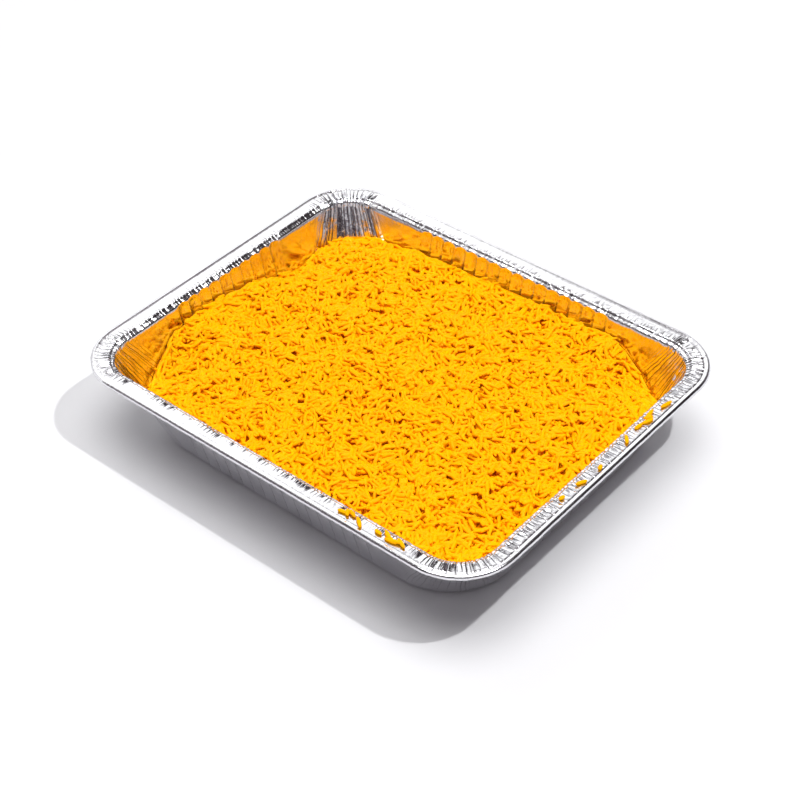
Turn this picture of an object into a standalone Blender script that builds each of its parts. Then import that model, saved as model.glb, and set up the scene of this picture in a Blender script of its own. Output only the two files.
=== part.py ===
"""Foil tray of yellow rice.

A half-size aluminium foil tray with a rolled rim and fluted walls, filled with
long-grain rice, and with a few grains spilt on its rim. +Z is up, +X runs along
the tray's long side, and the origin is the middle of the base that it rests on.
Sizes are named in millimetres and turned into metres where a mesh is made.
"""

import math

import bmesh
import bpy
import numpy as np
from mathutils import Matrix, Vector, geometry

MM = 0.001
SEED = 27

# The tray's outline
RIM_LENGTH = 324.0
RIM_WIDTH = 264.7
TRAY_HEIGHT = 57.3
RIM_CORNER_RADIUS = 40.0
BASE_CORNER_RADIUS = 46.0
FOIL_THICKNESS = 0.5

# The rim's section: a rolled bead, a flat flange, a small step and a ledge
BEAD_DIAMETER = 3.6
BEAD_SIDES = 6
GROOVE_WIDTH = 0.9
GROOVE_DEPTH = 1.4
FLANGE_WIDTH = 7.2
FLANGE_DROP = 0.7
FLANGE_SLOPE = 0.1
STEP_WIDTH = 0.8
STEP_DROP = 2.2
STEP_BULGE = 0.5
LEDGE_WIDTH = 2.4
LEDGE_DROP = 0.5
LIP_WIDTH = 0.8
LIP_DROP = 1.8

# The walls lean inwards to a softly rounded base edge
WALL_FOOT_INSET = 27.0
WALL_FOOT_HEIGHT = 5.0
BASE_EDGE_INSET = 28.8
BASE_EDGE_HEIGHT = 1.7
FLOOR_INSET = 31.5

# Flutes: arcs that bulge outwards between narrow cusps
FLUTE_PITCH = 9.6
LONG_SIDE_FLUTES = 16
SHORT_SIDE_FLUTES = 10
FLUTE_POINTS = 3
FLUTE_DEPTH_TOP = 2.2
FLUTE_DEPTH_FOOT = 0.9
CORNER_STEPS = 6

# The rice
RICE_LEVEL = 42.0
RICE_CROWN = 1.6
RICE_GAP = 0.4
RICE_CLEARANCE = 0.9
SETTLING_STEPS = 8
RICE_COLUMN_SPACING = 9.0
GRAIN_LENGTH = 9.0
GRAIN_DIAMETER = 2.0
RIDGE_SPACING = 7.0
RIDGE_HALF_LENGTH = 3.2
RIDGE_HALF_WIDTH = 1.6
RIDGE_RISE = (0.5, 1.6)
RIDGE_FALL = (0.5, 1.5)
RIDGE_TILT = 0.5
RIDGE_TRIES = 20000
RIDGE_MARGIN = 7.0
BOTTOM_SHRINK = 0.97

# Broad rises and hollows of the rice: middle x, middle y, spread x, spread y, height
RICE_MOUNDS = (
    (-139.0, 62.0, 16.0, 27.0, -12.5),
    (124.0, 106.0, 20.0, 18.0, -18.0),
    (-139.0, -92.0, 18.0, 18.0, -19.0),
    (-112.0, 108.0, 26.0, 14.0, -5.5),
    (84.0, 112.0, 17.0, 12.0, 4.5),
    (20.0, 112.0, 24.0, 14.0, 2.0),
    (-142.0, -30.0, 16.0, 24.0, 3.0),
    (-60.0, -70.0, 34.0, 26.0, -1.6),
    (45.0, -92.0, 40.0, 22.0, -2.0),
    (70.0, 20.0, 42.0, 34.0, 1.5),
    (-45.0, 30.0, 30.0, 40.0, 1.4),
    (118.0, -70.0, 24.0, 30.0, -1.8),
)

# Grains spilt on the rim: x, y, turn in degrees, share of a whole grain's length
SPILT_GRAINS = (
    (64.8, -124.6, 12.0, 0.85),
    (69.6, -122.6, -20.0, 0.80),
    (76.9, -125.6, -38.0, 0.95),
    (90.6, -124.6, -8.0, 0.60),
    (96.2, -123.0, -30.0, 0.85),
    (100.4, -125.6, 8.0, 0.90),
    (106.2, -123.4, -24.0, 0.90),
    (154.6, 66.2, 78.0, 1.00),
    (151.6, 53.0, 96.0, 0.95),
    (154.6, 46.6, 70.0, 0.90),
    (152.8, 39.4, 84.0, 0.75),
    (153.8, 25.4, 128.0, 0.90),
    (156.0, -4.0, 100.0, 0.45),
    (154.9, -21.2, 66.0, 0.85),
    (153.6, -38.4, 80.0, 0.50),
)
SPILT_SIDES = 6
SPILT_SINK = 0.25

# A spilt grain's form: share of its length from the middle, share of its width
SPINDLE = ((-0.5, 0.0), (-0.32, 0.85), (0.05, 1.0), (0.34, 0.8), (0.5, 0.0))


def make_material(name, colour, metallic, roughness):
    """Return a plain Principled material."""
    material = bpy.data.materials.new(name)
    material.use_nodes = True
    shader = material.node_tree.nodes["Principled BSDF"]
    shader.inputs["Base Color"].default_value = (*colour, 1.0)
    shader.inputs["Metallic"].default_value = metallic
    shader.inputs["Roughness"].default_value = roughness
    return material


def make_object(name, mesh_data, material, smooth_angle):
    """Turn a bmesh in millimetres into a named object in metres, facing out."""
    bmesh.ops.recalc_face_normals(mesh_data, faces=mesh_data.faces)
    bmesh.ops.scale(mesh_data, vec=(MM, MM, MM), verts=mesh_data.verts)
    mesh = bpy.data.meshes.new(name)
    mesh_data.to_mesh(mesh)
    mesh_data.free()
    mesh.shade_smooth()
    mesh.set_sharp_from_angle(angle=math.radians(smooth_angle))
    mesh.materials.append(material)
    new_object = bpy.data.objects.new(name, mesh)
    bpy.context.scene.collection.objects.link(new_object)
    return new_object


def side_positions(flutes):
    """Positions along a fluted side, each with its share of the flute's bulge."""
    count = flutes * FLUTE_POINTS
    start = -flutes * FLUTE_PITCH / 2
    step = FLUTE_PITCH / FLUTE_POINTS
    return [(start + i * step, 0.0 if i % FLUTE_POINTS == 0 else 1.0) for i in range(count + 1)]


def plain_positions(half_length):
    """Evenly spaced positions along a side without flutes, its two ends left out."""
    count = round(2 * half_length / RICE_COLUMN_SPACING)
    return [(half_length * (2 * i / count - 1), 0.0) for i in range(1, count)]


def outline(inset, radius, bulge, long_side, short_side):
    """Return the points of a rounded rectangle, set in from the rim's outer edge.

    Each side has the given positions, and a flute's arc moves out by bulge.
    """
    half_x = RIM_LENGTH / 2 - inset
    half_y = RIM_WIDTH / 2 - inset
    points = []
    for quarter in range(4):
        turn = Matrix.Rotation(quarter * math.pi / 2, 2)
        positions = short_side if quarter % 2 == 0 else long_side
        reach, run = (half_x, half_y) if quarter % 2 == 0 else (half_y, half_x)
        for along, share in positions:
            points.append(turn @ Vector((reach + share * bulge, along)))
        centre = Vector((reach - radius, run - radius))
        for step in range(CORNER_STEPS + 1):
            angle = step * math.pi / 2 / CORNER_STEPS
            corner = centre + radius * Vector((math.cos(angle), math.sin(angle)))
            points.append(turn @ corner)
    return points


def lip_inset():
    """Inset of the wall's top, where the rim's section ends."""
    return BEAD_DIAMETER + GROOVE_WIDTH + FLANGE_WIDTH + STEP_WIDTH + LEDGE_WIDTH + LIP_WIDTH


def lip_height():
    """Height of the wall's top."""
    return TRAY_HEIGHT - FLANGE_DROP - STEP_DROP - LEDGE_DROP - LIP_DROP


def wall_inset(height):
    """Inset of the wall's food side at a height."""
    heights = [BASE_EDGE_HEIGHT, WALL_FOOT_HEIGHT, lip_height()]
    return float(np.interp(height, heights, [BASE_EDGE_INSET, WALL_FOOT_INSET, lip_inset()]))


def wall_radius(height):
    """Corner radius of the wall's food side at a height."""
    top_radius = RIM_CORNER_RADIUS - lip_inset()
    return float(np.interp(height, [0.0, lip_height()], [BASE_CORNER_RADIUS, top_radius]))


def offset_station(before, station, after):
    """Move a station of the food side to the underside, by the foil's thickness."""
    normals = []
    for start, end in ((before, station), (station, after)):
        run = Vector((end[0] - start[0], end[1] - start[1])).normalized()
        normals.append(Vector((run.y, -run.x)))
    mitre = (normals[0] + normals[1]) / (1 + normals[0].dot(normals[1]))
    inset, height, radius, bulge = station
    move = mitre * FOIL_THICKNESS
    return inset + move.x, height + move.y, radius - move.x, bulge


def tray_section():
    """Return the tray's closed section as (inset, height, corner radius, bulge) stations.

    It runs round the bead, along the food side to the floor, and back underneath.
    """
    bead = []
    bead_radius = BEAD_DIAMETER / 2
    for step in range(1, BEAD_SIDES):
        angle = -2 * math.pi / BEAD_SIDES * step
        inset = bead_radius + bead_radius * math.cos(angle)
        height = TRAY_HEIGHT - bead_radius + bead_radius * math.sin(angle)
        bead.append((inset, height, RIM_CORNER_RADIUS - inset, 0.0))

    rim_steps = (
        (GROOVE_WIDTH / 2, GROOVE_DEPTH, 0.0),
        (GROOVE_WIDTH / 2, FLANGE_DROP - FLANGE_SLOPE - GROOVE_DEPTH, 0.0),
        (FLANGE_WIDTH, FLANGE_SLOPE, 0.0),
        (STEP_WIDTH, STEP_DROP, STEP_BULGE),
        (LEDGE_WIDTH, LEDGE_DROP, FLUTE_DEPTH_TOP),
        (LIP_WIDTH, LIP_DROP, FLUTE_DEPTH_TOP),
    )
    food_side = []
    inset = BEAD_DIAMETER
    height = TRAY_HEIGHT
    for width, drop, bulge in rim_steps:
        inset += width
        height -= drop
        food_side.append((inset, height, RIM_CORNER_RADIUS - inset, bulge))
    foot = WALL_FOOT_HEIGHT
    edge = BASE_EDGE_HEIGHT
    food_side.append((WALL_FOOT_INSET, foot, wall_radius(foot), FLUTE_DEPTH_FOOT))
    food_side.append((BASE_EDGE_INSET, edge, wall_radius(edge), 0.0))
    food_side.append((FLOOR_INSET, FOIL_THICKNESS, BASE_CORNER_RADIUS, 0.0))

    middle = (RIM_WIDTH / 2, FOIL_THICKNESS, 0.0, 0.0)
    path = food_side + [middle]
    underneath = [offset_station(*path[i:i + 3]) for i in range(len(path) - 2)]
    return bead + food_side + underneath[::-1]


def bridge(mesh_data, first, second):
    """Join two loops of as many vertices by triangles, split alike on both sides of a wall."""
    count = len(first)
    first_is_higher = first[0].co.z > second[0].co.z
    for i in range(count):
        j = (i + 1) % count
        if first_is_higher:
            mesh_data.faces.new((first[i], first[j], second[j]))
            mesh_data.faces.new((first[i], second[j], second[i]))
        else:
            mesh_data.faces.new((first[i], first[j], second[i]))
            mesh_data.faces.new((first[j], second[j], second[i]))


def build_tray(material):
    """Build the foil tray as one thin closed shell with a flat base."""
    long_side = side_positions(LONG_SIDE_FLUTES)
    short_side = side_positions(SHORT_SIDE_FLUTES)
    sides = (long_side, short_side)
    mesh_data = bmesh.new()
    loops = []
    for inset, height, radius, bulge in tray_section():
        points = outline(inset, radius, bulge, *sides)
        loops.append([mesh_data.verts.new((point.x, point.y, height)) for point in points])
    floor = next(i for i, loop in enumerate(loops) if loop[0].co.z <= FOIL_THICKNESS)
    for i, loop in enumerate(loops):
        if i != floor:
            bridge(mesh_data, loop, loops[(i + 1) % len(loops)])
    for loop in (loops[floor], loops[floor + 1]):
        middle = mesh_data.verts.new((0.0, 0.0, loop[0].co.z))
        for i, vertex in enumerate(loop):
            mesh_data.faces.new((vertex, loop[(i + 1) % len(loop)], middle))
    return make_object("foil_tray", mesh_data, material, 25.0)


def build_grain(name, material, place, turn, share):
    """Build one spilt grain: a six-sided spindle with pointed ends, on a flat side."""
    mesh_data = bmesh.new()
    length = GRAIN_LENGTH * share
    radius = GRAIN_DIAMETER / 2
    loops = []
    for along, width in SPINDLE:
        if width == 0.0:
            loops.append([mesh_data.verts.new((along * length, 0.0, 0.0))])
            continue
        loop = []
        for side in range(SPILT_SIDES):
            angle = 2 * math.pi * side / SPILT_SIDES
            across = width * radius * math.cos(angle)
            up = width * radius * math.sin(angle)
            loop.append(mesh_data.verts.new((along * length, across, up)))
        loops.append(loop)
    for lower, upper in zip(loops[1:-2], loops[2:-1]):
        bridge(mesh_data, lower, upper)
    for tip, loop in ((loops[0][0], loops[1]), (loops[-1][0], loops[-2])):
        for i, vertex in enumerate(loop):
            mesh_data.faces.new((tip, vertex, loop[(i + 1) % len(loop)]))
    grain_turn = Matrix.Rotation(math.radians(turn), 4, "Z")
    bmesh.ops.transform(mesh_data, matrix=Matrix.Translation(place) @ grain_turn, verts=mesh_data.verts)
    return make_object(name, mesh_data, material, 60.0)


def fuse_spilt_grains(tray, material):
    """Join the spilt grains to the flange with one union."""
    grains = bpy.data.collections.new("spilt_grains")
    flange_top = TRAY_HEIGHT - FLANGE_DROP
    height = flange_top + GRAIN_DIAMETER / 2 * math.cos(math.pi / SPILT_SIDES) - SPILT_SINK
    for number, (x, y, turn, share) in enumerate(SPILT_GRAINS):
        grain = build_grain(f"grain_{number}", material, Vector((x, y, height)), turn, share)
        bpy.context.scene.collection.objects.unlink(grain)
        grains.objects.link(grain)
    union = tray.modifiers.new("spilt_grains", "BOOLEAN")
    union.operation = "UNION"
    union.operand_type = "COLLECTION"
    union.collection = grains
    union.solver = "EXACT"
    depsgraph = bpy.context.evaluated_depsgraph_get()
    fused = bpy.data.meshes.new_from_object(tray.evaluated_get(depsgraph))
    tray.modifiers.remove(union)
    tray.data = fused
    for grain in list(grains.objects):
        bpy.data.objects.remove(grain)
    bpy.data.collections.remove(grains)


def rice_level(x, y):
    """Height of the rice's broad surface, without its grains."""
    crown = (1 - (2 * x / RIM_LENGTH) ** 2) * (1 - (2 * y / RIM_WIDTH) ** 2)
    level = RICE_LEVEL + RICE_CROWN * crown
    for middle_x, middle_y, spread_x, spread_y, rise in RICE_MOUNDS:
        reach = ((x - middle_x) / spread_x) ** 2 + ((y - middle_y) / spread_y) ** 2
        level += rise * math.exp(-reach / 2)
    return level


def wall_core(place, height):
    """Return the point that the wall's nearest stretch is rounded about, and its radius."""
    radius = wall_radius(height)
    core_x = RIM_LENGTH / 2 - wall_inset(height) - radius
    core_y = RIM_WIDTH / 2 - wall_inset(height) - radius
    core = Vector((min(max(place.x, -core_x), core_x), min(max(place.y, -core_y), core_y)))
    return core, radius


def wall_gap(place, height):
    """How far a point at a height lies inside the wall's food side."""
    core, radius = wall_core(place, height)
    return radius - (place - core).length


def rice_loop(height_at):
    """Points just inside the wall, each at the height that height_at gives for it."""
    inset = wall_inset(RICE_LEVEL)
    radius = wall_radius(RICE_LEVEL)
    long_side = plain_positions(RIM_LENGTH / 2 - inset - radius)
    short_side = plain_positions(RIM_WIDTH / 2 - inset - radius)
    points = []
    for guide in outline(inset, radius, 0.0, long_side, short_side):
        height = height_at(guide.x, guide.y)
        outwards = (guide - wall_core(guide, RICE_LEVEL)[0]).normalized()
        place = guide.copy()
        for _ in range(SETTLING_STEPS):
            place += outwards * (wall_gap(place, height) - RICE_CLEARANCE)
        points.append(Vector((place.x, place.y, height)))
    return points


def grain_ridges(rng):
    """Spread grain-sized ridges over the surface, none closer than the spacing.

    Each is a middle, a direction, a rise, a fall and a tilt, kept clear of the wall.
    """
    middles = np.empty((0, 2))
    ridges = []
    for _ in range(RIDGE_TRIES):
        middle = rng.uniform((-RIM_LENGTH / 2, -RIM_WIDTH / 2), (RIM_LENGTH / 2, RIM_WIDTH / 2))
        angle = rng.uniform(0, math.pi)
        if wall_gap(Vector(middle), rice_level(*middle)) < RIDGE_MARGIN:
            continue
        if len(middles) and np.hypot(*(middles - middle).T).min() < RIDGE_SPACING:
            continue
        middles = np.vstack([middles, middle])
        tilt = rng.uniform(-RIDGE_TILT, RIDGE_TILT)
        ridges.append((middle, angle, rng.uniform(*RIDGE_RISE), rng.uniform(*RIDGE_FALL), tilt))
    return ridges


def build_rice(material):
    """Build the rice as one solid whose top has ridges of a grain's size."""
    rng = np.random.default_rng(SEED)
    floor_height = FOIL_THICKNESS + RICE_GAP
    edge = rice_loop(rice_level)
    foot = rice_loop(lambda x, y: WALL_FOOT_HEIGHT)
    base_edge = rice_loop(lambda x, y: BASE_EDGE_HEIGHT)
    bottom = [Vector((*(point.xy * BOTTOM_SHRINK), floor_height)) for point in base_edge]

    places = [Vector((point.x, point.y)) for point in edge]
    heights = [point.z for point in edge]
    ridge_lines = []
    for middle, angle, rise, fall, tilt in grain_ridges(rng):
        along = RIDGE_HALF_LENGTH * np.array([math.cos(angle), math.sin(angle)])
        across = RIDGE_HALF_WIDTH * np.array([-math.sin(angle), math.cos(angle)])
        ridge_lines.append((len(places), len(places) + 1))
        corners = ((along, rise + tilt), (-along, rise - tilt), (across, -fall), (-across, -fall))
        for offset, change in corners:
            place = middle + offset
            places.append(Vector(place))
            heights.append(rice_level(*place) + change)

    rim_face = list(range(len(edge)))
    result = geometry.delaunay_2d_cdt(places, ridge_lines, [rim_face], 1, 1e-6)
    triangles, sources = result[2], result[3]

    mesh_data = bmesh.new()
    top = [mesh_data.verts.new((*places[i], heights[i])) for i in range(len(places))]
    for triangle in triangles:
        mesh_data.faces.new([top[sources[corner][0]] for corner in triangle])
    foot_loop = [mesh_data.verts.new(point) for point in foot]
    bottom_loop = [mesh_data.verts.new(point) for point in bottom]
    bridge(mesh_data, bottom_loop, foot_loop)
    bridge(mesh_data, foot_loop, top[:len(edge)])
    middle = mesh_data.verts.new((0.0, 0.0, floor_height))
    for i, vertex in enumerate(bottom_loop):
        mesh_data.faces.new((vertex, bottom_loop[(i + 1) % len(bottom_loop)], middle))
    loose = [vertex for vertex in mesh_data.verts if not vertex.link_faces]
    bmesh.ops.delete(mesh_data, geom=loose, context="VERTS")
    return make_object("rice", mesh_data, material, 40.0)


def main():
    """Clear the scene, then build the tray and the rice."""
    for old_object in list(bpy.data.objects):
        bpy.data.objects.remove(old_object)
    foil = make_material("aluminium_foil", (0.80, 0.80, 0.81), 1.0, 0.28)
    grain = make_material("yellow_rice", (0.98, 0.46, 0.006), 0.0, 0.45)
    tray = build_tray(foil)
    fuse_spilt_grains(tray, grain)
    build_rice(grain)


main()
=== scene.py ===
"""Foil tray of yellow rice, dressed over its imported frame.

The foil is one pressed sheet with a rolled bead, a creased flange and fluted walls.
The rice is a core with loose grains settled on it, and a few grains lie on the rim.
Sizes are named in millimetres and turned into metres where a mesh is placed.
"""

import logging
import math
from dataclasses import dataclass, field
from enum import Enum

import bmesh
import bpy
import numpy as np
from mathutils import Matrix, Vector, noise


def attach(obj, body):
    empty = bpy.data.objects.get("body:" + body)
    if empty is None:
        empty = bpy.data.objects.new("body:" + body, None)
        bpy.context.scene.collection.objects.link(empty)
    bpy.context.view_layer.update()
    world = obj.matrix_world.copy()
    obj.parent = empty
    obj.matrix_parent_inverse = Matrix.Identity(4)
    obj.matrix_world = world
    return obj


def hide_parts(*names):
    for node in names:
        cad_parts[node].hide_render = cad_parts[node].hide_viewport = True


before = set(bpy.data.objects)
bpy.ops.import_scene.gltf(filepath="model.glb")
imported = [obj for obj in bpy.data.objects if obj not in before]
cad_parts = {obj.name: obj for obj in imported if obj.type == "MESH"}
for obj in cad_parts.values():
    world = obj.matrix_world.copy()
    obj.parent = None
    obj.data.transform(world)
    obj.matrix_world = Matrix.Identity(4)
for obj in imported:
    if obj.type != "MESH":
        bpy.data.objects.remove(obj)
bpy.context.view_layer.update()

MM = 0.001
BODY = "root"
TRAY_NODE = "foil_tray"
RICE_NODE = "rice"
MATH = "ShaderNodeMath"
MIX = "ShaderNodeMix"
NOISE = "ShaderNodeTexNoise"

log = logging.getLogger("rice_tray")


class Stretch(Enum):
    """The kinds of stretch of the rim, each creased in its own way by the press."""

    RIGHT_SIDE = 0
    FAR_SIDE = 1
    LEFT_SIDE = 2
    NEAR_SIDE = 3
    CORNER = 4


class GrainKind(Enum):
    """The kinds of cooked grain in the heap."""

    WHOLE = "whole"
    CURVED = "curved"
    SLENDER = "slender"
    PLUMP = "plump"
    SPLIT = "split"


def linear(hex_colour: str, glow: float = 1.0) -> tuple[float, float, float, float]:
    """Turn an sRGB hex colour into linear values.

    Args:
        hex_colour: The colour as six hex digits after a hash sign.
        glow: How many times brighter than the colour it is, for a light.

    Returns:
        Red, green, blue and an alpha of 1.
    """
    values = []
    for start in (1, 3, 5):
        share = int(hex_colour[start:start + 2], 16) / 255
        values.append(glow * (share / 12.92 if share <= 0.04045 else ((share + 0.055) / 1.055) ** 2.4))
    return (*values, 1.0)


def add_node(
    tree: bpy.types.NodeTree, kind: str, values: dict, output: int | str = 0
) -> bpy.types.NodeSocket:
    """Add a node, with its settings and the links into it.

    Args:
        tree: The node tree that it goes in.
        kind: The node's identifier.
        values: Values by the name of a property, or by the name or number of an input.
            A value that is another node's output is linked.
        output: The name or number of the output that is wanted.

    Returns:
        That output of the new node.
    """
    node = tree.nodes.new(kind)
    for name, value in values.items():
        if isinstance(value, bpy.types.NodeSocket):
            tree.links.new(value, node.inputs[name])
        elif isinstance(name, str) and hasattr(node, name):
            setattr(node, name, value)
        else:
            node.inputs[name].default_value = value
    return node.outputs[output]


def new_material(name: str) -> tuple[bpy.types.Material, bpy.types.NodeTree, bpy.types.Node]:
    """Start a material.

    Args:
        name: The material's name.

    Returns:
        The material, its node tree and its Principled shader.
    """
    material = bpy.data.materials.new(name)
    material.use_nodes = True
    tree = material.node_tree
    return material, tree, tree.nodes["Principled BSDF"]


def link_all(tree: bpy.types.NodeTree, shader: bpy.types.Node, sockets: dict) -> None:
    """Link sockets to the shader's inputs of their names."""
    for name, socket in sockets.items():
        tree.links.new(socket, shader.inputs[name])


def noise_along(places: np.ndarray, size: float, *aside: float) -> np.ndarray:
    """Make smooth noise along a line of places.

    Args:
        places: The places in millimetres.
        size: The size of the noise's lumps in millimetres.
        aside: Where the line runs through the noise.

    Returns:
        A value between -1 and 1 at each place.
    """
    return np.array([noise.noise(Vector((place / size, *aside))) for place in places])


def place_in_frame(piece: bpy.types.Object, slot: str, *nodes: str) -> None:
    """Let a finished piece ride on the body and stand for its nodes.

    Args:
        piece: The finished piece.
        slot: Not used.
        nodes: The CAD nodes that it stands for.
    """
    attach(piece, BODY)
    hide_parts(*nodes)
    log.info("%s: %d faces", piece.name, len(piece.data.polygons))


def start_grid(name: str, columns: int, rows: int) -> bpy.types.Object:
    """Add a flat grid as the start of a sheet, selected alone and in object mode.

    Args:
        name: The piece's name.
        columns: Vertices along a row.
        rows: Vertices along a column.

    Returns:
        The grid, whose vertices run along one row after another.
    """
    bpy.ops.object.select_all(action="DESELECT")
    bpy.ops.mesh.primitive_grid_add(x_subdivisions=columns - 1, y_subdivisions=rows - 1, size=2.0)
    piece = bpy.context.object
    piece.name = name
    piece.data.name = name
    return piece


def close_round(piece: bpy.types.Object, places: np.ndarray, caps: tuple[int, ...]) -> None:
    """Move a grid's vertices to their places, join its two ends and cap its rows.

    Args:
        piece: The grid, whose last column lies on its first.
        places: The vertices' places in millimetres, by row and column.
        caps: Rows that are closed by one face.
    """
    mesh = piece.data
    rows, columns = places.shape[:2]
    mesh.vertices.foreach_set("co", (places * MM).astype(np.float32).ravel())
    marks = mesh.attributes.new("row", "INT", "POINT")
    marks.data.foreach_set("value", np.repeat(np.arange(rows), columns))
    bpy.ops.object.mode_set(mode="EDIT")
    bpy.ops.mesh.select_all(action="SELECT")
    bpy.ops.mesh.remove_doubles(threshold=1e-7)
    bpy.ops.mesh.select_mode(type="VERT")
    for row in caps:
        bpy.ops.mesh.select_all(action="DESELECT")
        mesh_data = bmesh.from_edit_mesh(mesh)
        layer = mesh_data.verts.layers.int["row"]
        for vertex in mesh_data.verts:
            vertex.select_set(vertex[layer] == row)
        mesh_data.select_flush_mode()
        bmesh.update_edit_mesh(mesh)
        bpy.ops.mesh.edge_face_add()
    bpy.ops.object.mode_set(mode="OBJECT")
    mesh.attributes.remove(mesh.attributes["row"])


@dataclass(frozen=True)
class FoilFinish:
    """Half-hard aluminium foil, cold rolled and pressed.

    It gives a bright mirror that is slightly blurred by the rolling. Where the press
    gathered the sheet it is folded in small facets across the rim's run, with creases
    between them that are painted dark as painted shade, and it is crumpled and finely
    grained besides. The grain of real foil is too fine to show, so it is drawn 0.9 mm across.
    """

    colour: str = "#F8F8FA"
    dull_colour: str = "#D9D8DC"
    # Painted shade: the colour that the creases are darkened towards.
    painted_crease_shade_colour: str = "#383336"
    roughness: float = 0.09
    dull_roughness: float = 0.20
    smear_size: float = 14.0
    smear_range: tuple[float, float] = (0.3, 0.7)
    fold_size: float = 2.7
    fold_sway: float = 1.6
    sway_size: float = 7.0
    facet_slope: float = 0.9
    crease_width: float = 0.19
    crease_depth: float = 0.30
    painted_crease_shade_share: float = 0.92
    least_crease: float = 0.35
    crumple_size: float = 2.6
    crumple_depth: float = 0.50
    crumple_draw: float = 0.40
    grain_size: float = 0.9
    grain_depth: float = 0.05

    def fold_pattern(
        self, tree: bpy.types.NodeTree, along: bpy.types.NodeSocket
    ) -> tuple[bpy.types.NodeSocket, bpy.types.NodeSocket]:
        """Lay facets with creases between them along the rim's run.

        Args:
            tree: The material's node tree.
            along: The place along the run.

        Returns:
            The facets' height and the creases' strength.
        """
        cells = {"voronoi_dimensions": "1D", "Scale": 1 / self.fold_size, "W": along}
        facet = add_node(tree, "ShaderNodeTexVoronoi", {"feature": "F1", **cells}, "Color")
        middle = facet.node.outputs["W"]
        border = add_node(tree, "ShaderNodeTexVoronoi", {"feature": "DISTANCE_TO_EDGE", **cells}, "Distance")
        chance = add_node(tree, "ShaderNodeSeparateColor", {0: facet})
        lean = add_node(tree, MATH, {"operation": "SUBTRACT", 0: chance, 1: 0.5})
        slope = add_node(tree, MATH, {"operation": "MULTIPLY", 0: lean, 1: self.facet_slope})
        past_middle = add_node(tree, MATH, {"operation": "SUBTRACT", 0: along, 1: middle})
        height = add_node(tree, MATH, {"operation": "MULTIPLY", 0: past_middle, 1: slope})
        nearness = {"interpolation_type": "SMOOTHSTEP", "From Min": self.crease_width, "From Max": 0.0}
        line = add_node(tree, "ShaderNodeMapRange", {**nearness, "Value": border})
        strength = add_node(tree, MATH, {"operation": "ADD", 0: chance, 1: self.least_crease})
        return height, add_node(tree, MATH, {"operation": "MULTIPLY", 0: line, 1: strength})

    def material(self) -> bpy.types.Material:
        """Return the foil's material, which reads the sheet's run, fold and crinkle attributes."""
        material, tree, shader = new_material("rolled_aluminium_foil")
        place = add_node(tree, "ShaderNodeTexCoord", {}, "Object")
        run, fold, crinkle = (
            add_node(tree, "ShaderNodeAttribute", {"attribute_name": name}, "Fac")
            for name in ("run", "fold", "crinkle")
        )
        draw = (1.0, 1.0, self.crumple_draw)
        drawn = add_node(tree, "ShaderNodeVectorMath", {"operation": "MULTIPLY", 0: place, 1: draw})
        smear, crumple, grain, sway = (
            add_node(tree, NOISE, {"Scale": 1 / (size * MM), "Detail": detail, "Vector": vector})
            for size, detail, vector in (
                (self.smear_size, 3.0, place),
                (self.crumple_size, 3.0, drawn),
                (self.grain_size, 2.0, place),
                (self.sway_size, 1.0, place),
            )
        )
        along = add_node(tree, MATH, {"operation": "MULTIPLY_ADD", 0: sway, 1: self.fold_sway, 2: run})
        facets, crease = self.fold_pattern(tree, along)
        dent = -self.crease_depth
        folds = add_node(tree, MATH, {"operation": "MULTIPLY_ADD", 0: crease, 1: dent, 2: facets})
        folds = add_node(tree, MATH, {"operation": "MULTIPLY", 0: folds, 1: fold})
        rough = add_node(tree, MATH, {"operation": "MULTIPLY", 0: crumple, 1: self.crumple_depth})
        rough = add_node(tree, MATH, {"operation": "MULTIPLY_ADD", 0: grain, 1: self.grain_depth, 2: rough})
        height = add_node(tree, MATH, {"operation": "MULTIPLY_ADD", 0: rough, 1: crinkle, 2: folds})
        bump = add_node(tree, "ShaderNodeBump", {"Distance": MM, "Height": height})

        bright, dull, dark = (linear(name) for name in (self.colour, self.dull_colour, self.painted_crease_shade_colour))
        sheet = add_node(tree, MIX, {"data_type": "RGBA", 0: smear, 6: bright, 7: dull}, 2)
        # The creases are painted darker in the base colour, as painted shade where the folded sheet would
        # shadow itself.
        shade = add_node(tree, MATH, {"operation": "MULTIPLY", 0: crease, 1: fold})
        shade = add_node(tree, MATH, {"operation": "MULTIPLY", 0: shade, 1: self.painted_crease_shade_share})
        colour = add_node(tree, MIX, {"data_type": "RGBA", 0: shade, 6: sheet, 7: dark}, 2)
        least, most = self.smear_range
        blurred = {"To Min": self.roughness, "To Max": self.dull_roughness}
        gloss = add_node(
            tree, "ShaderNodeMapRange", {"Value": smear, "From Min": least, "From Max": most, **blurred}
        )
        shader.inputs["Metallic"].default_value = 1.0
        link_all(tree, shader, {"Base Color": colour, "Roughness": gloss, "Normal": bump})
        return material


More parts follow.
